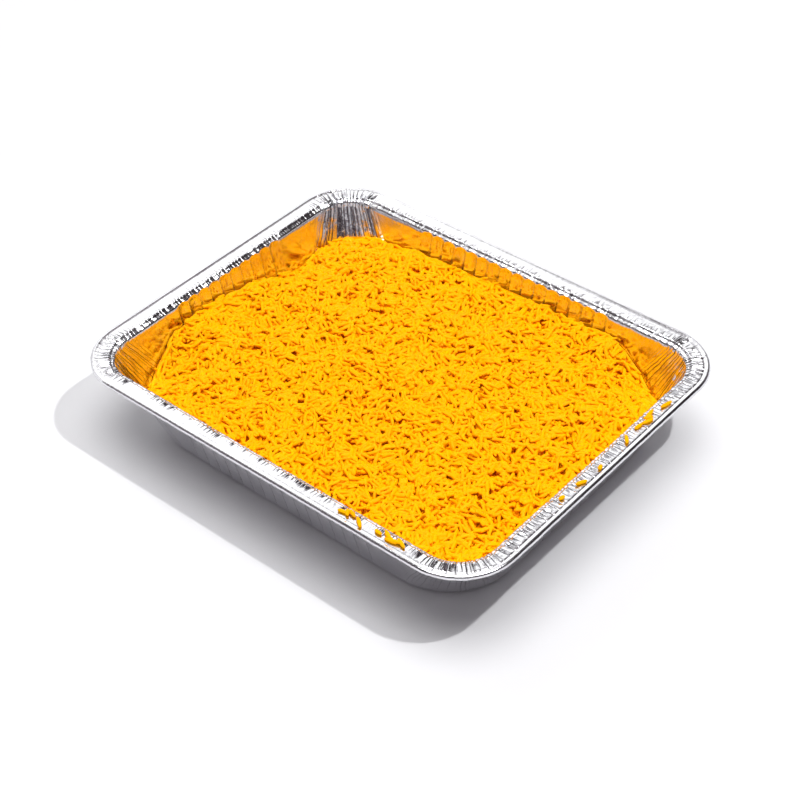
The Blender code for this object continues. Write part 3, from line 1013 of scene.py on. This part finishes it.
@dataclass
class RiceHeap:
    """The rice: a core with relief of a grain's size, and loose grains settled on it."""

    form: TrayForm
    surface: RiceSurface
    finish: RiceFinish
    core_finish: RiceFinish
    core_depth: float = 5.0
    core_grains: int = 3000
    loose_grains: int = 12000
    cell: float = 0.6
    pool_size: int = 60000
    choices: int = 16
    tries: int = 30000
    stretches: tuple[float, float] = (0.86, 1.12)
    swells: tuple[float, float] = (0.9, 1.08)
    roll: float = 0.5
    steepest: float = 1.0
    sink: tuple[float, float] = (1.3, 2.3)
    top_limit: tuple[float, float] = (0.3, 1.6)
    core_limit: tuple[float, float] = (-3.2, -1.6)
    unevenness: float = 1.4
    small_ripples: Ripples = Ripples((5.3, 2.0, 9.7), (4.1, 1.7, 11.3))
    broad_ripples: Ripples = Ripples((12.1, 1.6, 17.0), (10.3, 1.9, 21.0))
    broad_share: float = 0.8
    bank_width: float = 6.0
    bank_share: float = 0.5
    wall_margin: float = 0.15
    pool_margin: float = 0.65
    wall_reach: float = 5.5
    wall_turn: float = 0.12
    wall_loosening: float = 0.10
    bow_margin: float = 0.7
    upright_share: float = 0.05
    upright_slopes: tuple[float, float] = (0.8, 1.8)
    upright_sink: tuple[float, float] = (0.3, 1.3)
    core_columns: int = 420
    core_rows: int = 84
    core_shares: tuple[float, float] = (0.995, 0.012)
    core_tone: float = 0.4
    foot_share: float = 0.97
    edge_aspect: float = 0.8
    edge_start: float = 60.0
    edge_steps: int = 60
    edge_step: float = 0.8
    floor_gap: float = 0.5
    sharpest: float = 60.0
    seed: int = 27
    heights: np.ndarray = field(init=False)
    target: np.ndarray = field(init=False)
    origin: tuple[float, float] = field(init=False)

    def __post_init__(self) -> None:
        """Start the height field at the core's broad surface."""
        half_x, half_y = self.form.rim_length / 2, self.form.rim_width / 2
        self.origin = (-half_x, -half_y)
        xs = np.arange(-half_x, half_x, self.cell)
        ys = np.arange(-half_y, half_y, self.cell)
        x, y = np.meshgrid(xs, ys, indexing="ij")
        ripples = self.small_ripples.height(x, y) + self.broad_share * self.broad_ripples.height(x, y)
        self.target = self.surface.height(self.form, x, y) + self.unevenness * ripples
        gap = self.form.wall_gap(x, y, self.target)
        self.heights = self.target - self.core_depth * np.clip(gap / self.bank_width, self.bank_share, 1.0)

    def cells(self, x: np.ndarray, y: np.ndarray) -> tuple[np.ndarray, np.ndarray]:
        """Return the field's cells that points lie in."""
        column = ((x - self.origin[0]) / self.cell).astype(int)
        row = ((y - self.origin[1]) / self.cell).astype(int)
        return column, row

    def low_place(
        self, rng: np.random.Generator, pool: np.ndarray, limit: tuple[float, float]
    ) -> tuple[float, float, float]:
        """Pick the lowest of a few places.

        Args:
            rng: The source of chance.
            pool: The places inside the walls.
            limit: How far a grain's top may stand above the rice's broad form.

        Returns:
            The place along and across the tray, and the highest that a grain may reach there.
        """
        picks = pool[rng.integers(len(pool), size=self.choices)]
        columns, rows = self.cells(picks[:, 0], picks[:, 1])
        lowest = int(np.argmax(self.target[columns, rows] - self.heights[columns, rows]))
        x, y = picks[lowest]
        return x, y, self.target[columns[lowest], rows[lowest]] + rng.uniform(*limit)

    def turn_at(self, rng: np.random.Generator, x: float, y: float, height: float) -> float:
        """Choose which way a grain lies: any way, or along the wall beside it.

        Args:
            rng: The source of chance.
            x: The grain's place along the tray.
            y: Its place across the tray.
            height: Its height.

        Returns:
            The turn about the upright.
        """
        turn = rng.uniform(0.0, 2 * math.pi)
        gap = float(self.form.wall_gap(x, y, height))
        if gap < self.wall_reach:
            ahead = float(self.form.wall_gap(x + 0.1, y, height)) - gap
            aside = float(self.form.wall_gap(x, y + 0.1, height)) - gap
            spread = self.wall_turn + self.wall_loosening * gap
            turn = math.atan2(aside, ahead) + math.pi / 2 + rng.normal(0.0, spread)
        return turn

    def rest(
        self, rng: np.random.Generator, footprint: Footprint, limit: float, margin: float
    ) -> tuple[float, float] | None:
        """Let one grain come to rest, and raise the height field to its top.

        Args:
            rng: The source of chance.
            footprint: The ground that it falls on.
            limit: The highest that it may reach.
            margin: How far its underside stays from the wall.

        Returns:
            The height of its middle and its tilt, or None where it doesn't fit.
        """
        x, y = footprint.points()
        end_x, end_y = x[[0, -1]], y[[0, -1]]
        level = self.surface.height(self.form, end_x, end_y)
        if self.form.wall_gap(end_x, end_y, level).min() < self.wall_margin:
            return None
        cells = self.cells(x, y)
        support = (self.heights[cells] + footprint.half_depth)[:, 1:-1].max(axis=1)
        if rng.uniform() < self.upright_share:
            slope = float(rng.choice((-1, 1)) * rng.uniform(*self.upright_slopes))
            middle = float(support[len(support) // 2] - rng.uniform(*self.upright_sink))
        else:
            slope = float(np.clip(footprint.slope_on(support), -self.steepest, self.steepest))
            middle = float((support - slope * footprint.run[:, 0]).max() - rng.uniform(*self.sink))
        if middle + footprint.radius > limit:
            return None
        tilt = math.atan(slope)
        flat = math.cos(tilt)
        x, y = footprint.points(flat)
        axis = middle + slope * footprint.run * flat
        if self.form.wall_gap(x, y, axis - footprint.half_depth).min() < margin:
            return None
        cells = self.cells(x, y)
        self.heights[cells] = np.maximum(self.heights[cells], axis + footprint.half_depth)
        return middle, tilt

    def settle(
        self, rng: np.random.Generator, count: int, limit: tuple[float, float]
    ) -> list[tuple[GrainForm, GrainPlace]]:
        """Let grains fall one by one into the low places, each coming to rest on two others.

        Args:
            rng: The source of chance.
            count: How many grains fall at most.
            limit: How far their tops may stand above the rice's broad form.

        Returns:
            The grains' kinds and places.
        """
        half = np.array((self.form.rim_length / 2, self.form.rim_width / 2))
        pool = rng.uniform(-half, half, (self.pool_size, 2))
        level = self.surface.height(self.form, pool[:, 0], pool[:, 1])
        pool = pool[self.form.wall_gap(pool[:, 0], pool[:, 1], level) > self.pool_margin]
        chances = np.cumsum([form.share for form in GRAIN_FORMS])
        found = []
        for _ in range(self.tries):
            if len(found) == count:
                break
            x, y, top = self.low_place(rng, pool, limit)
            kind = int(np.searchsorted(chances, rng.uniform()))
            form = GRAIN_FORMS[min(kind, len(GRAIN_FORMS) - 1)]
            turn = self.turn_at(rng, x, y, top)
            stretch, swell = rng.uniform(*self.stretches), rng.uniform(*self.swells)
            footprint = Footprint(x, y, turn, form.length * stretch, form.diameter * swell / 2)
            rest = self.rest(rng, footprint, top, self.bow_margin * form.bow)
            if rest is None:
                continue
            middle, tilt = rest
            roll = rng.normal(0.0, self.roll) + math.pi * rng.integers(2)
            place = GrainPlace(x, y, middle, turn, tilt, roll, stretch, swell, rng.uniform())
            found.append((form, place))
        return found

    def edge_height(self, x: np.ndarray, y: np.ndarray, level: float | None) -> np.ndarray:
        """Return the height of the core's edge: a level all round or, without one, its top."""
        if level is None:
            return self.surface.height(self.form, x, y) - self.core_depth * self.bank_share
        return np.full(len(x), level)

    def core_edge(self, level: float | None = None) -> np.ndarray:
        """Walk round inside the wall.

        Args:
            level: The height, or None for the edge of the core's top.

        Returns:
            The places, one row each.
        """
        turn = np.linspace(0.0, 2 * math.pi, self.core_columns + 1)
        way_x, way_y = np.cos(turn), np.sin(turn) * self.edge_aspect
        reach = np.full(len(turn), self.edge_start)
        for _ in range(self.edge_steps):
            x, y = reach * way_x, reach * way_y
            gap = self.form.wall_gap(x, y, self.edge_height(x, y, level))
            reach = reach + self.edge_step * (gap - self.floor_gap)
        x, y = reach * way_x, reach * way_y
        return np.stack((x, y, self.edge_height(x, y, level)), 1)

    def build_core(self) -> bpy.types.Object:
        """Model the core, whose top has the relief that the first grains left.

        Returns:
            The finished core.
        """
        edge = self.core_edge()
        rows = [self.core_edge(self.floor_gap), self.core_edge(self.form.foot_height), edge]
        for share in np.linspace(*self.core_shares, self.core_rows):
            x, y = edge[:, 0] * share, edge[:, 1] * share
            rows.append(np.stack((x, y, self.heights[self.cells(x, y)]), 1))
        places = np.array(rows)
        places[0, :, :2] *= self.foot_share
        places[:, -1] = places[:, 0]
        core = start_grid("rice_core", self.core_columns + 1, len(rows))
        tones = core.data.attributes.new("tone", "FLOAT", "POINT")
        tones.data.foreach_set("value", np.full(places[..., 0].size, self.core_tone, np.float32))
        close_round(core, places, (0, len(rows) - 1))
        bpy.ops.object.mode_set(mode="EDIT")
        bpy.ops.mesh.select_all(action="SELECT")
        bpy.ops.mesh.normals_make_consistent(inside=False)
        bpy.ops.object.mode_set(mode="OBJECT")
        bpy.ops.object.shade_smooth_by_angle(angle=math.radians(self.sharpest))
        return core

    def build(self) -> list[bpy.types.Object]:
        """Settle the grains and model the core and one piece for each kind of grain.

        Returns:
            The finished pieces.
        """
        rng = np.random.default_rng(self.seed)
        self.settle(rng, self.core_grains, self.core_limit)
        pieces = [self.build_core()]
        loose = self.settle(rng, self.loose_grains, self.top_limit)
        for form in GRAIN_FORMS:
            places = [place for kind, place in loose if kind is form]
            pieces.append(join_grains(f"{form.kind.value}_grains", form, places))
        return pieces

    def dress(self, pieces: list[bpy.types.Object]) -> None:
        """Give the core its deeper orange, painted shade for the gaps between grains, and the grains theirs.
        """
        core, *grains = pieces
        core.data.materials.clear()
        core.data.materials.append(self.core_finish.material())
        material = self.finish.material()
        for piece in grains:
            piece.data.materials.append(material)
        for piece in pieces:
            place_in_frame(piece, "rice", RICE_NODE)


@dataclass
class SpiltGrains:
    """The grains spilt on the flange.

    Each is a place along and across the tray, a turn in degrees, the share of a whole
    grain's length, and how far it lies above the flange on other grains.
    """

    form: TrayForm
    finish: RiceFinish
    seed: int = 5
    sink: float = 0.30
    tilt: float = 0.04
    tones: tuple[float, float] = (0.4, 1.0)
    grains: tuple[tuple[float, float, float, float, float], ...] = (
        (64.8, -124.6, 12.0, 0.85, 0.0),
        (69.6, -122.6, -20.0, 0.80, 0.0),
        (67.2, -124.0, -52.0, 0.62, 0.4),
        (76.9, -125.6, -38.0, 0.95, 0.0),
        (90.6, -124.6, -8.0, 0.60, 0.0),
        (96.2, -123.0, -30.0, 0.85, 0.0),
        (100.4, -125.6, 8.0, 0.90, 0.0),
        (106.2, -123.4, -24.0, 0.90, 0.0),
        (98.6, -124.2, -14.0, 0.85, 0.5),
        (103.4, -124.6, 18.0, 0.70, 0.45),
        (154.6, 66.2, 78.0, 1.00, 0.0),
        (151.6, 53.0, 96.0, 0.95, 0.0),
        (154.6, 46.6, 70.0, 0.90, 0.0),
        (152.8, 39.4, 84.0, 0.75, 0.0),
        (153.4, 49.0, 60.0, 0.70, 0.45),
        (153.8, 25.4, 128.0, 0.90, 0.0),
        (156.0, -4.0, 100.0, 0.45, 0.0),
        (154.9, -21.2, 66.0, 0.85, 0.0),
        (153.6, -38.4, 80.0, 0.50, 0.0),
    )

    def build(self) -> bpy.types.Object:
        """Lay the spilt grains on the flange.

        Returns:
            The finished piece.
        """
        rng = np.random.default_rng(self.seed)
        whole = GRAIN_FORMS[0]
        places = []
        for x, y, degrees, share, lift in self.grains:
            height = self.form.flange_height + whole.diameter / 2 - self.sink + lift
            roll, tone = rng.uniform(0.0, 2 * math.pi), rng.uniform(*self.tones)
            tilt = rng.normal(0.0, self.tilt)
            places.append(GrainPlace(x, y, height, math.radians(degrees), tilt, roll, share, 1.0, tone))
        return join_grains("spilt_grains", whole, places)

    def dress(self, piece: bpy.types.Object) -> None:
        """Give the spilt grains the rice's colour."""
        piece.data.materials.append(self.finish.material())
        place_in_frame(piece, "rice", TRAY_NODE)


@dataclass
class Studio:
    """The camera, the lights and the pale floor."""

    azimuth: float = 40.99
    elevation: float = 40.74
    roll: float = -1.45
    distance: float = 1115.7
    target: tuple[float, float, float] = (6.56, -6.70, 30.0)
    lens: float = 79.96
    sensor: float = 36.0
    nearest: float = 50.0
    key_place: tuple[float, float, float] = (705.0, 200.0, 1530.0)
    key_radius: float = 25.0
    key_power: float = 20.0
    white: str = "#FFFFFF"
    overhead_glow: float = 4.8
    overhead_rise: tuple[float, float] = (0.89, 0.94)
    far_glow: float = 1.45
    far_way: tuple[float, float, float] = (-0.94, 0.34, 0.0)
    far_reach: tuple[float, float] = (0.40, 0.66)
    far_rise: tuple[float, float] = (0.80, 0.92)
    horizon_rise: tuple[float, float] = (0.17, 0.23)
    horizon_colour: str = "#DADADD"
    patch_size: float = 2.6
    patch_reach: tuple[float, float] = (0.46, 0.62)
    patch_colour: str = "#BDBABF"
    near_colour: str = "#2D272A"
    near_patch_colour: str = "#82787E"
    floor_size: float = 12000.0

    def set_camera(self) -> None:
        """Place the camera as it stood for the photograph."""
        turn, rise = math.radians(self.azimuth), math.radians(self.elevation)
        roll = math.radians(self.roll)
        level = math.cos(rise)
        back = Vector((math.sin(turn) * level, -math.cos(turn) * level, math.sin(rise)))
        right = Vector((0.0, 0.0, 1.0)).cross(back).normalized()
        up = back.cross(right)
        right, up = (
            math.cos(roll) * right + math.sin(roll) * up,
            math.cos(roll) * up - math.sin(roll) * right,
        )
        place = (Vector(self.target) + back * self.distance) * MM
        axes = Matrix((right, up, back)).transposed().to_4x4()
        data = bpy.data.cameras.new("camera")
        data.lens = self.lens
        data.sensor_width = self.sensor
        data.clip_start = self.nearest * MM
        camera = bpy.data.objects.new("camera", data)
        camera.matrix_world = Matrix.Translation(place) @ axes
        bpy.context.scene.collection.objects.link(camera)
        bpy.context.scene.camera = camera

    def set_key(self) -> None:
        """Add a small firm lamp up on the right, as bright on the far floor as on the near."""
        data = bpy.data.lights.new("key", "POINT")
        data.energy = self.key_power
        data.shadow_soft_size = self.key_radius * MM
        data.use_nodes = True
        tree = data.node_tree
        falloff = add_node(tree, "ShaderNodeLightFalloff", {"Strength": 1.0}, "Constant")
        link_all(tree, tree.nodes["Emission"], {"Strength": falloff})
        lamp = bpy.data.objects.new("key", data)
        lamp.location = Vector(self.key_place) * MM
        bpy.context.scene.collection.objects.link(lamp)

    def set_sky(self) -> None:
        """Add a round softbox overhead, a white backdrop behind the tray and a dim room elsewhere."""
        world = bpy.data.worlds.new("sky")
        world.use_nodes = True
        bpy.context.scene.world = world
        tree = world.node_tree
        way = add_node(tree, "ShaderNodeTexCoord", {}, "Generated")
        rise = add_node(tree, "ShaderNodeSeparateXYZ", {0: way}, "Z")
        product = {"operation": "DOT_PRODUCT", 0: way, 1: self.far_way}
        behind = add_node(tree, "ShaderNodeVectorMath", product, "Value")
        noisy = add_node(tree, NOISE, {"Scale": self.patch_size, "Detail": 1.0, "Vector": way})
        patchy, above_far, in_far, above_horizon, overhead = (
            add_node(
                tree,
                "ShaderNodeMapRange",
                {"interpolation_type": "SMOOTHSTEP", "Value": value, "From Min": start, "From Max": end},
            )
            for value, (start, end) in (
                (noisy, self.patch_reach),
                (rise, self.far_rise),
                (behind, self.far_reach),
                (rise, self.horizon_rise),
                (rise, self.overhead_rise),
            )
        )
        backdrop, patch = linear(self.white, self.far_glow), linear(self.patch_colour)
        near, near_patch = linear(self.near_colour), linear(self.near_patch_colour)
        horizon, softbox = linear(self.horizon_colour), linear(self.white, self.overhead_glow)
        blend = {"data_type": "RGBA"}
        far = add_node(tree, MIX, {**blend, 0: patchy, 6: backdrop, 7: patch}, 2)
        dim = add_node(tree, MIX, {**blend, 0: patchy, 6: near, 7: near_patch}, 2)
        far = add_node(tree, MIX, {**blend, 0: above_far, 6: far, 7: dim}, 2)
        room = add_node(tree, MIX, {**blend, 0: in_far, 6: dim, 7: far}, 2)
        room = add_node(tree, MIX, {**blend, 0: above_horizon, 6: horizon, 7: room}, 2)
        sky = add_node(tree, MIX, {**blend, 0: overhead, 6: room, 7: softbox}, 2)
        link_all(tree, tree.nodes["Background"], {"Color": sky})

    def set_floor(self) -> None:
        """Lay the pale floor under the tray."""
        bpy.ops.object.select_all(action="DESELECT")
        bpy.ops.mesh.primitive_plane_add(size=self.floor_size * MM)
        floor = bpy.context.object
        floor.name = "studio_floor"
        floor.data.materials.append(FloorFinish().material())

    def build(self) -> None:
        """Set up the whole studio."""
        self.set_camera()
        self.set_key()
        self.set_sky()
        self.set_floor()
        view = bpy.context.scene.view_settings
        view.view_transform = "Standard"
        view.look = "None"
        log.info("studio: camera, key, sky and floor")


def main() -> None:
    """Build and dress the tray, the rice and the spilt grains, then the studio."""
    logging.basicConfig(level=logging.INFO, format="%(name)s: %(message)s")
    form = TrayForm()
    rice = RiceFinish()
    # The core shows between the grains, so it is painted a deeper orange: painted shade for the gaps.
    between = RiceFinish(name="rice_between_grains_painted_shade", deep_colour="#FFA000", bright_colour="#FFB000")

    tray = FoilTray(form, FoilFinish())
    tray.dress(tray.build())

    heap = RiceHeap(form, RiceSurface(), rice, between)
    heap.dress(heap.build())

    spilt = SpiltGrains(form, rice)
    spilt.dress(spilt.build())

    Studio().build()


if __name__ == "__main__":
    main()
